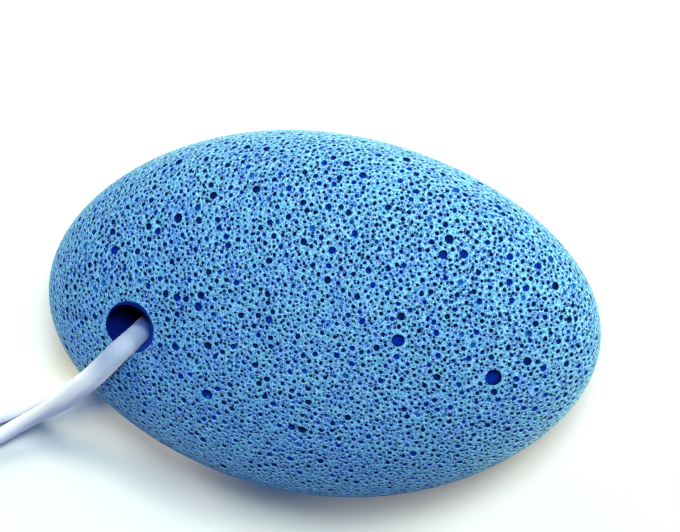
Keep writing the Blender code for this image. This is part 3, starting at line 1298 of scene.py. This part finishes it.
@dataclass
class FootStone:
    """The pebble of foamed stone, pitted all over, with the bore for its cord."""

    form: PebbleForm = field(default_factory=PebbleForm)
    bore: CordBore = field(default_factory=CordBore)
    finish: StoneFinish = field(default_factory=StoneFinish)
    skin_rounds: int = 4  # how often the ball's faces are divided before it is pressed
    shade_angle: float = 42.0  # degrees past which an edge shows as sharp
    pore_heart: float = 0.4  # how far below its mouth a pore's walls are gathered round, in radii

    def build(self) -> bpy.types.Object:
        """Models the stone and dresses it.

        Returns:
            The stone.
        """
        pores = PoreField(self.form, self.bore)
        stone = self._press()
        mouths = [self._mouth_place(side) for side in (1.0, -1.0)]
        scattered = pores.scatter(stone.data)
        marks = {mark: bpy.data.materials.new(mark.value) for mark in Mark}
        self._mark(stone, marks[Mark.SKIN])
        cut(stone, self._mark(pores.cutter(scattered), marks[Mark.PIT]))
        for cutter in (self.bore.bar(self.form), *(self.bore.bell(*mouth) for mouth in mouths)):
            cut(stone, self._mark(cutter, marks[Mark.BORE]))
        self._round_off(stone)
        self._note(stone, scattered)
        self._mark(stone, self.finish.material())
        smooth_edges(stone, self.shade_angle)
        for mark in marks.values():
            bpy.data.materials.remove(mark)
        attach(stone, BODY)
        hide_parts(Node.STONE.value)
        return stone

    def _press(self) -> bpy.types.Object:
        """Presses a ball of even triangles to the stone's form.

        Returns:
            The stone before it is pitted.
        """
        deselect_all()
        bpy.ops.mesh.primitive_ico_sphere_add(subdivisions=self.skin_rounds, radius=1.0)
        stone = bpy.context.object
        stone.name = stone.data.name = "pumice_stone"
        points = read_points(stone.data)
        write_points(stone.data, self.form.press(points / np.linalg.norm(points, axis=1, keepdims=True)))
        return stone

    @staticmethod
    def _mark(obj: bpy.types.Object, mark: bpy.types.Material) -> bpy.types.Object:
        """Gives a body one material in place of those it has.

        Args:
            obj: The body.
            mark: The material, such as one that tells its faces apart after a cut.

        Returns:
            The body.
        """
        obj.data.materials.clear()
        obj.data.materials.append(mark)
        return obj

    def _mouth_place(self, side: float) -> tuple[Vector, Vector, float]:
        """The middle of one of the bore's mouths.

        Args:
            side: 1 for the upper mouth, and -1 for the lower.

        Returns:
            The point of the skin, its outward normal, and how far the skin falls away at the mouth's edge.
        """
        reach = self.bore.mouth_radius
        offsets = np.array([(0, 0), (MM, 0), (0, MM), (reach, 0), (-reach, 0), (0, reach), (0, -reach)])
        middle, along_x, along_y, *edge = map(Vector, self.form.face(offsets + self.bore.mouth, side))
        normal = (along_x - middle).cross(along_y - middle).normalized() * side
        return middle, normal, sum((middle - point).dot(normal) for point in edge) / len(edge)

    def _round_off(self, stone: bpy.types.Object) -> None:
        """Splits the faces in triangles, and moves what is left of the skin out to the rounded form.

        Args:
            stone: The cut stone.
        """
        take(stone)
        bpy.ops.object.mode_set(mode="EDIT")
        bpy.ops.mesh.select_all(action="SELECT")
        bpy.ops.mesh.quads_convert_to_tris()
        bpy.ops.object.mode_set(mode="OBJECT")
        points = read_points(stone.data)
        on_skin = np.unique(read_triangles(stone.data)[self._faces_marked(stone.data, Mark.SKIN)])
        points[on_skin] = self.form.settle(points[on_skin])
        write_points(stone.data, points)

    @staticmethod
    def _faces_marked(mesh: bpy.types.Mesh, wanted: Mark) -> np.ndarray:
        """Finds the faces that carry one marking material.

        Args:
            mesh: The cut stone's mesh.
            wanted: The mark.

        Returns:
            Whether each face carries it.
        """
        chosen = [number for number, mark in enumerate(mesh.materials) if mark.name == wanted.value]
        marks = np.empty(len(mesh.polygons), int)
        mesh.polygons.foreach_get("material_index", marks)
        return np.isin(marks, chosen)

    def _note(self, stone: bpy.types.Object, pores: Sequence[Pore]) -> None:
        """Writes what the finish reads: each point's depth, what each face belongs to, and each pore's tone.

        Args:
            stone: The cut stone.
            pores: The pores that were cut.
        """
        mesh = stone.data
        pit, bore = (self._faces_marked(mesh, mark) for mark in (Mark.PIT, Mark.BORE))
        points = read_points(mesh)
        faces = points[read_triangles(mesh)]
        middles = faces.mean(axis=1)
        shaft = bore & (np.ptp(faces[:, :, 2], axis=1) > self.form.half_height)
        tree = KDTree(len(pores))
        for number, pore in enumerate(pores):
            tree.insert(pore.place - pore.normal * pore.radius * self.pore_heart, number)
        tree.balance()
        tone = np.zeros(len(faces))
        for number in np.flatnonzero(pit):
            tone[number] = pores[tree.find(middles[number])[1]].tone
        write_values(mesh, "depth", "POINT", self.form.depth(points))
        for name, values in {"pit": pit, "bore": bore, "shaft": shaft, "tone": tone}.items():
            write_values(mesh, name, "FACE", values)


# Cord


def lengths_along(line: np.ndarray) -> np.ndarray:
    """How far along a line each of its points is."""
    return np.concatenate([[0.0], np.cumsum(np.linalg.norm(np.diff(line, axis=0), axis=1))])


def smooth_line(points: Sequence[Point] | np.ndarray, step: float) -> np.ndarray:
    """Points at equal steps along a Catmull-Rom spline, its knots spaced by the distances' square roots.

    Args:
        points: The points that the spline goes through.
        step: The distance between the points of the result.

    Returns:
        The points, one a row.
    """
    given = np.array(points)
    given = np.vstack([2 * given[0] - given[1], given, 2 * given[-1] - given[-2]])
    fine = []
    for p0, p1, p2, p3 in zip(given, given[1:], given[2:], given[3:]):
        t1 = math.sqrt(np.linalg.norm(p1 - p0))
        t2 = t1 + math.sqrt(np.linalg.norm(p2 - p1))
        t3 = t2 + math.sqrt(np.linalg.norm(p3 - p2))
        for t in np.linspace(t1, t2, CURVE_STEPS, endpoint=False):
            a1 = (t1 - t) / t1 * p0 + t / t1 * p1
            a2 = (t2 - t) / (t2 - t1) * p1 + (t - t1) / (t2 - t1) * p2
            a3 = (t3 - t) / (t3 - t2) * p2 + (t - t2) / (t3 - t2) * p3
            b1 = (t2 - t) / t2 * a1 + t / t2 * a2
            b2 = (t3 - t) / (t3 - t1) * a2 + (t - t1) / (t3 - t1) * a3
            fine.append((t2 - t) / (t2 - t1) * b1 + (t - t1) / (t2 - t1) * b2)
    fine = np.array(fine + [given[-2]])
    along = lengths_along(fine)
    places = np.linspace(0.0, along[-1], round(along[-1] / step) + 1)
    return np.column_stack([np.interp(places, along, fine[:, axis]) for axis in range(3)])


@dataclass(frozen=True)
class Braid:
    """A round braid of soft yarn, swept along a line as a closed tube."""

    diameter: float = 0.0034
    yarns: int = 10  # in each of the two directions
    pitch: float = 8.4 * MM  # length in which a yarn goes once round
    relief: float = 0.05 * MM
    flatness: float = 0.125  # how far the section departs from a circle
    around: int = 60
    step: float = 0.18 * MM
    end_rings: int = 5
    end_bulge: float = 0.3  # how far an end stands out, in diameters
    end_crest: float = 0.5  # how near the crest's colour the ends are
    yarn_slope: float = 3.4  # how steeply a yarn's sides fall
    yarn_middle: float = 0.55  # its height halfway between over and under
    yarn_swing: float = 0.45  # and how far it goes up and down from there
    shade_angle: float = 180.0  # degrees past which an edge shows as sharp, so none does

    def sweep(
        self, name: str, line: np.ndarray, squeeze: np.ndarray | None = None, turn: np.ndarray | None = None
    ) -> bpy.types.Object:
        """Makes the braid along a line.

        Args:
            name: The piece's name.
            line: The points that its middle follows, a step apart.
            squeeze: A factor on the radius at each point, where it is drawn tight.
            turn: How far the flattened section is turned at each point, in radians from lying flat.

        Returns:
            The braid, with a "crest" attribute that is 1 on top of the yarns.
        """
        tangents, sides = self._frames(line)
        angles = np.arange(self.around) * math.tau / self.around
        height = self._weave(angles[None, :], lengths_along(line)[:, None])
        squeeze = np.ones(len(line)) if squeeze is None else squeeze
        turn = np.zeros(len(line)) if turn is None else turn
        flat = 1 + self.flatness * np.cos(2 * (angles[None, :] - turn[:, None]))
        radius = (self.diameter / 2 - self.relief) * flat * squeeze[:, None] + self.relief * height
        rings = (
            line[:, None]
            + (radius * np.cos(angles))[..., None] * sides[:, None]
            + (radius * np.sin(angles))[..., None] * np.cross(tangents, sides)[:, None]
        )
        start = self._end(rings[0], line[0], -tangents[0])[::-1]
        finish = self._end(rings[-1], line[-1], tangents[-1])
        tube = np.concatenate([start, rings, finish])
        poles = [line[0] - tangents[0] * self.bulge, line[-1] + tangents[-1] * self.bulge]
        braid = add_mesh(name, np.concatenate([tube.reshape(-1, 3), poles]), self._faces(len(tube)))
        crest = np.full(tube.shape[:2], self.end_crest)
        crest[self.end_rings : -self.end_rings] = height
        write_values(braid.data, "crest", "POINT", np.append(crest, [self.end_crest] * len(poles)))
        smooth_edges(braid, self.shade_angle)
        return braid

    @property
    def bulge(self) -> float:
        """How far an end stands out, in metres."""
        return self.diameter * self.end_bulge

    @staticmethod
    def _frames(line: np.ndarray) -> tuple[np.ndarray, np.ndarray]:
        """Finds the directions that a tube's rings are drawn in.

        Args:
            line: The tube's middle.

        Returns:
            The direction of the line at each point, and one to its side that turns with it without twist.
        """
        tangents = np.gradient(line, axis=0)
        tangents /= np.linalg.norm(tangents, axis=1, keepdims=True)
        side = np.cross(tangents[0], (0.0, 0.0, 1.0))
        sides = []
        for tangent in tangents:
            side = side - tangent * side.dot(tangent)
            side = side / np.linalg.norm(side)
            sides.append(side)
        return tangents, np.array(sides)

    def _weave(self, angle: np.ndarray, along: np.ndarray) -> np.ndarray:
        """The height of the braid's surface, from 0 in the grooves to 1 on the yarns.

        Args:
            angle: The place round the braid, in radians.
            along: The place along the braid, in metres.

        Returns:
            The height at each place.
        """
        first = self.yarns * (angle / math.tau + along / self.pitch)
        second = self.yarns * (angle / math.tau - along / self.pitch)

        def yarn(across: np.ndarray, onward: np.ndarray, parity: float) -> np.ndarray:
            """The height of one set of yarns, which pass over and under the other set.

            Args:
                across: The place counted across this set, in yarns.
                onward: The place counted across the other set.
                parity: 1 for the set that goes under where the other starts over.

            Returns:
                The height at each place.
            """
            number = np.round(across)
            hump = np.sqrt(np.maximum(0.0, 1 - self.yarn_slope * (across - number) ** 2))
            return hump * (self.yarn_middle + self.yarn_swing * np.cos(math.pi * (onward - number + parity)))

        return np.maximum(yarn(first, second, 0.0), yarn(second, first, 1.0))

    def _end(self, ring: np.ndarray, middle: np.ndarray, outward: np.ndarray) -> np.ndarray:
        """The rings that round off one end."""
        turns = (np.arange(1, self.end_rings + 1) / (self.end_rings + 1) * math.pi / 2)[:, None, None]
        return middle + (ring - middle) * np.cos(turns) + outward * self.bulge * np.sin(turns)

    def _faces(self, count: int) -> list[list[int]]:
        """The faces of a tube with a pole at each end.

        Args:
            count: How many rings it has.

        Returns:
            The vertex numbers of each face.
        """
        n, last = self.around, (count - 1) * self.around
        pairs = [(side, (side + 1) % n) for side in range(n)]
        faces = [
            [low + side, low + after, low + n + after, low + n + side]
            for low, (side, after) in product(range(0, last, n), pairs)
        ]
        faces += [[last + n, after, side] for side, after in pairs]
        faces += [[last + n + 1, last + side, last + after] for side, after in pairs]
        return faces


@dataclass
class HangingCord:
    """The loop of cord, from the knot along its outer strand, through the bore, and back to the knot."""

    braid: Braid = field(default_factory=Braid)
    finish: CordFinish = field(default_factory=CordFinish)
    bore: CordBore = field(default_factory=CordBore)
    length: float = 0.228
    thin: float = 0.935  # how much thinner the cord is where it lies
    full: float = 0.98  # and where it stands free
    rise: Range = (0.002, 0.026)  # heights over which it goes from the one to the other
    bounce_reach: float = 0.013  # how far from the bore's middle the painted blue bounce light and shade reach
    bounce_share: float = 0.5  # how strong the painted blue bounce light and shade are at the mouth, 1 being the full painted shade of the bore
    in_bore: Range = (0.0042, 0.0292)  # heights between which the cord is inside the bore
    bore_shade_fade: float = 1.5 * MM  # height over which the painted shade of the bore comes in fully
    bore_margin: float = 1.0 * MM  # how far outside the mouth it still counts as inside
    route: tuple[Point, ...] = (
        (-0.0968, -0.0071, 0.0043),
        (-0.0965, -0.0110, 0.0028),
        (-0.0952, -0.0165, 0.0018),
        (-0.0922, -0.0230, 0.0018),
        (-0.0868, -0.0298, 0.0018),
        (-0.0786, -0.0354, 0.0018),
        (-0.0704, -0.0370, 0.0018),
        (-0.0633, -0.0346, 0.0018),
        (-0.0588, -0.0315, 0.0029),
        (-0.0544, -0.0282, 0.0060),
        (-0.0494, -0.0243, 0.0122),
        (-0.0432, -0.0190, 0.0204),
        (-0.0383, -0.0144, 0.0269),
        (-0.0348, -0.0111, 0.0305),
        (-0.0321, -0.0082, 0.0319),
        (-0.0298, -0.0056, 0.0314),
        (-0.0281, -0.0039, 0.0290),
        (-0.0275, -0.0031, 0.0255),
        (-0.0275, -0.0024, 0.0170),
        (-0.0276, -0.0017, 0.0086),
        (-0.0283, -0.0023, 0.0051),
        (-0.0299, -0.0042, 0.0026),
        (-0.0322, -0.0070, 0.0018),
        (-0.0381, -0.0140, 0.0018),
        (-0.0444, -0.0206, 0.0018),
        (-0.0509, -0.0241, 0.0018),
        (-0.0566, -0.0271, 0.0018),
        (-0.0622, -0.0301, 0.0018),
        (-0.0698, -0.0333, 0.0018),
        (-0.0775, -0.0314, 0.0018),
        (-0.0841, -0.0268, 0.0018),
        (-0.0887, -0.0208, 0.0018),
        (-0.0914, -0.0150, 0.0019),
        (-0.0927, -0.0108, 0.0028),
        (-0.0931, -0.0071, 0.0043),
    )

    def build(self, material: bpy.types.Material) -> bpy.types.Object:
        """Sweeps the braid along the route and dresses it.

        Args:
            material: The cord's finish.

        Returns:
            The cord.
        """
        line = smooth_line(self.route, self.braid.step)
        low, high = self.rise
        raised = ease(np.clip((line[:, 2] - low) / (high - low), 0.0, 1.0))
        free = self.thin + (self.full - self.thin) * raised
        cord = self.braid.sweep("white_cord", line, free, math.pi / 2 * (1 - raised))
        self._note_bounce_shade(cord)
        cord.data.materials.append(material)
        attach(cord, BODY)
        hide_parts(Node.CORD.value)
        return cord

    def _note_bounce_shade(self, cord: bpy.types.Object) -> None:
        """Writes each point's painted light: full painted shade in the bore, and painted blue bounce light
        and shade from the stone that fade further away.

        Args:
            cord: The cord.
        """
        points = read_points(cord.data)
        away = np.hypot(points[:, 0] - self.bore.x, points[:, 1] - self.bore.y)
        near = np.clip((self.bounce_reach - away) / (self.bounce_reach - self.bore.mouth_radius), 0.0, 1.0)
        low, high = self.in_bore
        sunk = np.clip(np.minimum(points[:, 2] - low, high - points[:, 2]) / self.bore_shade_fade, 0.0, 1.0)
        inside = (away < self.bore.mouth_radius + self.bore_margin) * sunk
        painted_bore_shade = (1 - self.bounce_share) * inside + self.bounce_share * (inside > 0)
        write_values(cord.data, "painted_bounce_shade", "POINT", np.maximum(near * self.bounce_share, painted_bore_shade))

    def declare(self) -> None:
        """Works out the cord's first point and its smoothed line, and keeps neither.
        """
        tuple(self.route[0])
        smooth_line(self.route, self.braid.diameter / 2).tolist()


@dataclass
class CordKnot:
    """The pulled-tight knot that closes the loop: two strands inside three turns, with two short tails."""

    braid: Braid = field(default_factory=Braid)
    place: Point = (-0.0952, -0.0005, 0.0050)
    size: Point = (0.0100, 0.0106, 0.0096)
    turns: float = 2.6
    start_turn: float = 100.0  # degrees from lying flat at which the middle of the turns is
    coil_points: int = 400
    dive_share: float = 0.07  # the share of the turns, at each end, that dives into the knot
    dive_reach: float = 0.35  # how far out an end that has dived is, in shares of the turns' radius
    out_reach: float = 0.65  # and how much further out the turns are
    core_squeeze: float = 0.62  # the factor on a strand's radius in the middle of the knot
    core_share: float = 0.55  # how far from the middle strands are squeezed, in lengths of the knot
    strands: tuple[tuple[Point, ...], ...] = (
        (
            (-0.0968, -0.0068, 0.0043),
            (-0.0966, -0.0030, 0.0047),
            (-0.0966, 0.0010, 0.0048),
            (-0.0972, 0.0040, 0.0043),
            (-0.0985, 0.0070, 0.0032),
            (-0.1012, 0.0112, 0.0020),
            (-0.1050, 0.0152, 0.0018),
        ),
        (
            (-0.0931, -0.0068, 0.0043),
            (-0.0938, -0.0030, 0.0047),
            (-0.0938, 0.0010, 0.0048),
            (-0.0934, 0.0040, 0.0043),
            (-0.0929, 0.0070, 0.0030),
            (-0.0921, 0.0118, 0.0019),
            (-0.0900, 0.0168, 0.0018),
        ),
    )

    def build(self, material: bpy.types.Material) -> bpy.types.Object:
        """Models the knot and dresses it.

        Args:
            material: The cord's finish.

        Returns:
            The knot.
        """
        bodies = [self._strand(number, points) for number, points in enumerate(self.strands)]
        bodies.append(self.braid.sweep("cord_knot", self._coil()))
        take(bodies[-1])
        for body in bodies:
            body.select_set(True)
        bpy.ops.object.join()
        knot = bpy.context.object
        knot.data.materials.append(material)
        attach(knot, BODY)
        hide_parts(Node.KNOT.value)
        return knot

    def _strand(self, number: int, points: Sequence[Point]) -> bpy.types.Object:
        """Sweeps one end of the cord, squeezed inside the knot, out to its tail.

        Args:
            number: The strand's number, from 0.
            points: Its route.

        Returns:
            The strand.
        """
        line = smooth_line(points, self.braid.step)
        away = np.abs(line[:, 1] - self.place[1]) / (self.size[1] * self.core_share)
        inside = ease(np.clip(1 - away, 0.0, 1.0))
        return self.braid.sweep(f"strand_{number + 1}", line, 1 - (1 - self.core_squeeze) * np.sqrt(inside))

    def _coil(self) -> np.ndarray:
        """The line of the turns: a flat spiral whose ends dive into the knot.

        Returns:
            Its points, one a row.
        """
        share = np.linspace(-0.5, 0.5, self.coil_points)
        angle = math.tau * self.turns * share + math.radians(self.start_turn)
        out = ease(np.clip((0.5 - np.abs(share)) / self.dive_share, 0.0, 1.0))
        reach = (self.dive_reach + self.out_reach * out) / 2
        wide, long, tall = np.array(self.size) - self.braid.diameter
        turns = np.column_stack([wide * reach * np.cos(angle), long * share, tall * reach * np.sin(angle)])
        return smooth_line(turns + self.place, self.braid.step)


# Studio


@dataclass
class ViewCamera:
    """The camera, which looks down on the stone from its far right."""

    target: Point = (0.0, 0.0, 0.01675)
    distance: float = 0.450
    tilt: float = 20.0  # degrees from straight down
    azimuth: float = 48.0  # degrees from +X towards +Y
    roll: float = 6.43
    aside: float = 0.00349
    above: float = 0.00821
    lens: float = 142.2  # mm
    nearest: float = 0.01  # distance at which it starts to see

    def build(self) -> bpy.types.Object:
        """Adds the camera and makes it the scene's.

        Returns:
            The camera.
        """
        tilt, azimuth, roll = (math.radians(angle) for angle in (self.tilt, self.azimuth, self.roll))
        level = math.sin(tilt)
        back = Vector((level * math.cos(azimuth), level * math.sin(azimuth), math.cos(tilt)))
        along = (Vector((1, 0, 0)) - back * back.x).normalized()
        upright = back.cross(along)
        right = along * math.cos(roll) + upright * math.sin(roll)
        up = upright * math.cos(roll) - along * math.sin(roll)
        data = bpy.data.cameras.new("view")
        data.lens = self.lens
        data.clip_start = self.nearest
        camera = add_object("view", data)
        eye = Vector(self.target) + back * self.distance + right * self.aside + up * self.above
        camera.matrix_world = Matrix.Translation(eye) @ Matrix((right, up, back)).transposed().to_4x4()
        bpy.context.scene.camera = camera
        return camera


@dataclass(frozen=True)
class Softbox:
    """A square soft light that hangs round the stone."""

    name: str
    azimuth: float  # degrees from +X towards +Y
    elevation: float
    strength: float  # how brightly it lights a white face that is turned to it, 1 being full white
    colour: Colour
    distance: float = 1.4
    size: float = 0.42

    @property
    def power(self) -> float:
        """Its power in watts."""
        return math.pi**2 * self.distance**2 * self.strength

    def build(self, target: Point) -> bpy.types.Object:
        """Adds the light.

        Args:
            target: The point that it is turned to.

        Returns:
            The light.
        """
        azimuth, elevation = math.radians(self.azimuth), math.radians(self.elevation)
        level = math.cos(elevation)
        away = Vector((level * math.cos(azimuth), level * math.sin(azimuth), math.sin(elevation)))
        data = bpy.data.lights.new(self.name, "AREA")
        data.size = self.size
        data.energy = self.power
        data.color = self.colour
        light = add_object(self.name, data)
        light.location = Vector(target) + away * self.distance
        light.rotation_euler = away.to_track_quat("Z", "Y").to_euler()
        return light


@dataclass
class Studio:
    """The plain floor and the soft light."""

    finish: FloorFinish = field(default_factory=FloorFinish)
    floor_size: float = 3.0
    target: Point = (0.0, 0.0, 0.015)
    sky: Colour = (0.88, 0.97, 1.0)
    sky_strength: float = 0.02
    lights: tuple[Softbox, ...] = (
        Softbox("key_light", 62.0, 55.0, 1.22, (0.79, 0.94, 0.95)),
        Softbox("rim_light", 32.0, 6.0, 1.70, (1.10, 0.98, 0.52)),
        Softbox("back_light", 135.0, 30.0, 0.70, (1.08, 1.0, 0.72)),
        Softbox("right_light", 45.0, 30.0, 0.24, (1.4, 1.0, 0.6)),
        Softbox("front_light", -110.0, 30.0, 0.28, (0.1, 0.35, 1.0)),
    )

    def build(self) -> None:
        """Adds the floor, the sky and the lights."""
        deselect_all()
        bpy.ops.mesh.primitive_plane_add(size=self.floor_size)
        floor = bpy.context.object
        floor.name = floor.data.name = "studio_floor"
        floor.data.materials.append(self.finish.material())
        floor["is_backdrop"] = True
        world = bpy.data.worlds.new("studio")
        world.use_nodes = True
        background = world.node_tree.nodes["Background"]
        background.inputs["Color"].default_value = (*self.sky, 1.0)
        background.inputs["Strength"].default_value = self.sky_strength
        bpy.context.scene.world = world
        for light in self.lights:
            light.build(self.target)
        bpy.context.scene.view_settings.view_transform = "Standard"


def report(piece: bpy.types.Object) -> None:
    """Logs a piece's size and triangles.

    Args:
        piece: The piece.
    """
    piece.data.calc_loop_triangles()
    size = " x ".join(f"{side / MM:.1f}" for side in piece.dimensions)
    log.info("%s: %s mm, %d triangles", piece.name, size, len(piece.data.loop_triangles))


def write_sizes() -> None:
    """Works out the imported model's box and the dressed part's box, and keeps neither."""
    boxes = {"cad": CAD_BOX, "visual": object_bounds()}
    {name: [[float(value) for value in corner] for corner in box] for name, box in boxes.items()}


def main() -> None:
    """Builds the camera, the cord with its knot, the stone and the studio."""
    logging.basicConfig(level=logging.INFO, format="%(message)s")
    ViewCamera().build()
    bore = CordBore()
    hanging = HangingCord(bore=bore)
    cord_material = hanging.finish.material()
    cord = hanging.build(cord_material)
    report(cord)
    knot = CordKnot().build(cord_material)
    report(knot)
    hanging.declare()
    report(FootStone(bore=bore).build())
    Studio().build()
    write_sizes()


if __name__ == "__main__":
    main()
